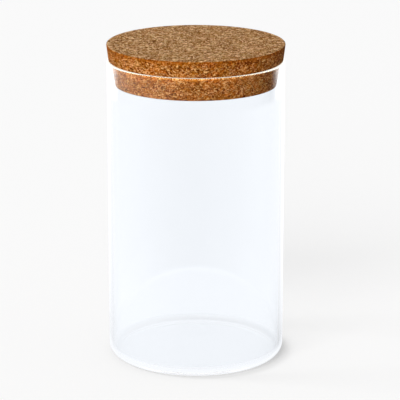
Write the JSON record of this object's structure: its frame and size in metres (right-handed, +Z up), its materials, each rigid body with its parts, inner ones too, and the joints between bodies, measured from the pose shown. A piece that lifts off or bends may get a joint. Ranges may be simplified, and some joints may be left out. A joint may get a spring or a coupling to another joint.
{
  "type": "glass storage jar with cork lid",
  "caption": "Straight-sided clear glass storage jar with a rounded heel and a push-in tapered cork lid whose cap covers the rim.",
  "frame": {"origin": "middle of the base, on the plane that the jar stands on", "axes": "+Z up along the jar's own axis, from the base to the lid; the jar is round, so X and Y are alike"},
  "size_m": [0.1002, 0.1002, 0.1814],
  "materials": {
    "glass": "clear borosilicate glass, polished",
    "cork": "matte agglomerated cork with visible granules, unsealed"
  },
  "bodies": {
    "jar": {"glass_jar": "glass"},
    "lid": {"cork_lid": "cork"}
  },
  "joints": [
    {"name": "lid_lift", "type": "slide", "parent": "jar", "child": "lid", "axis": [0, 0, 1], "range_m": [0, 0.11]}
  ]
}
